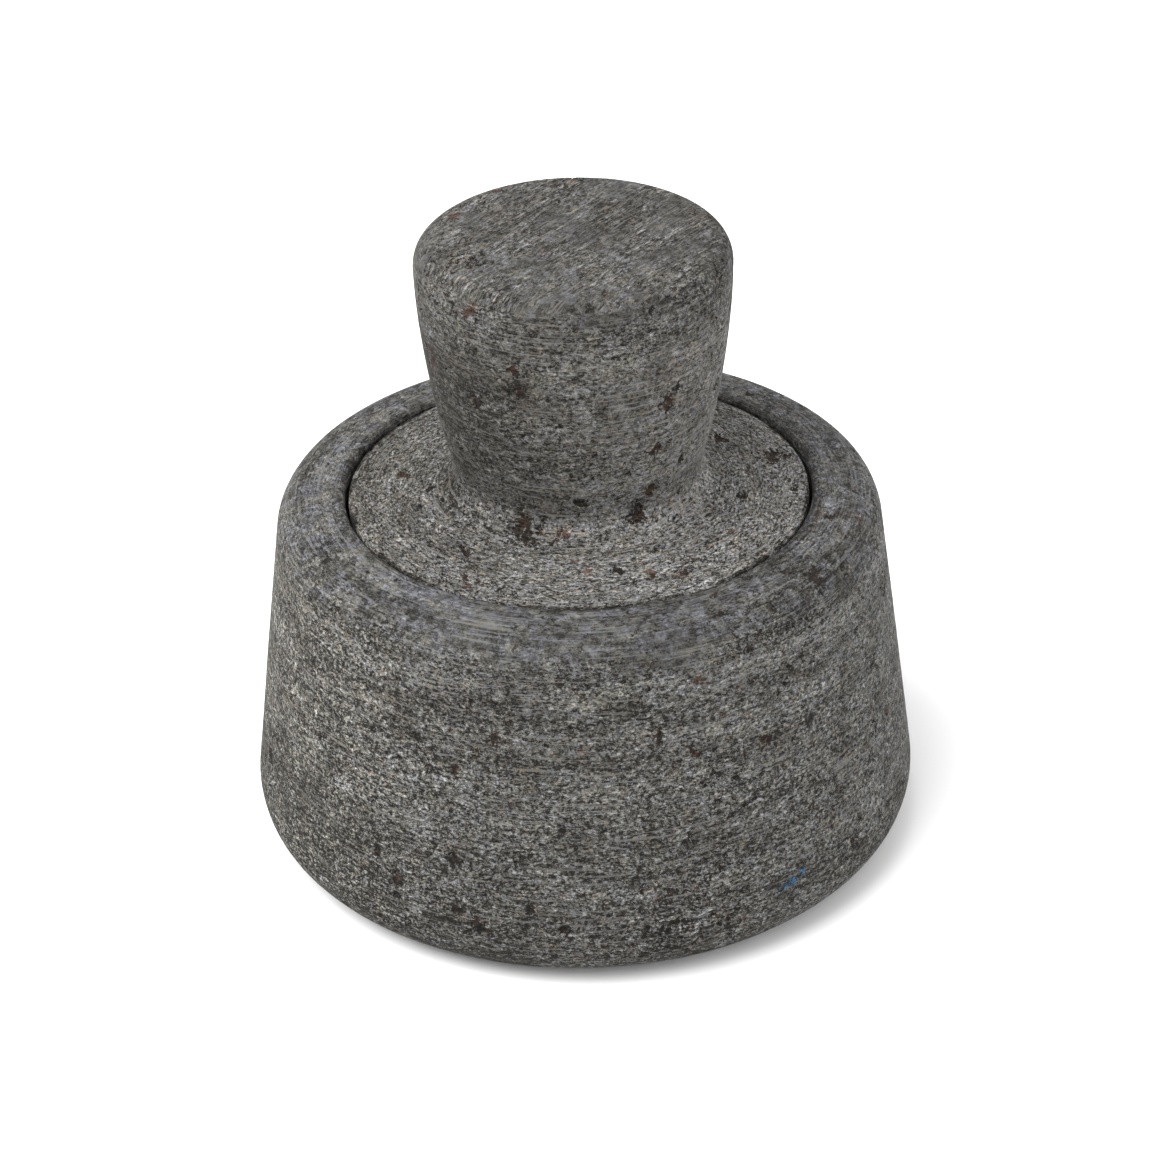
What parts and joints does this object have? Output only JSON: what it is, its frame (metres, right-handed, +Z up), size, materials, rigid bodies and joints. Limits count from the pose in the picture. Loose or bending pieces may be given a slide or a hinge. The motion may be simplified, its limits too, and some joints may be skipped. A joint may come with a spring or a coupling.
{
  "type": "molcajete",
  "caption": "Round turned stone mortar without legs, and a stone pestle whose flat disc closes the mouth under a flared palm handle.",
  "frame": {"origin": "centre of the mortar's base, on the surface it stands on", "axes": "+Z up along the axis that both stones are turned about; +X and +Y are free, because the part looks the same all round"},
  "size_m": [0.1392, 0.1392, 0.1324],
  "materials": {
    "honed_stone": "fine-grained grey stone, turned and honed, matt",
    "coarse_stone": "fine-grained grey stone, rough ground, matt"
  },
  "bodies": {
    "mortar": {"mortar": "honed_stone"},
    "pestle": {"pestle": "coarse_stone"}
  },
  "joints": [
    {"name": "pestle_lift", "type": "slide", "parent": "mortar", "child": "pestle", "axis": [0, 0, 1], "range_m": [0, 0.08]}
  ]
}
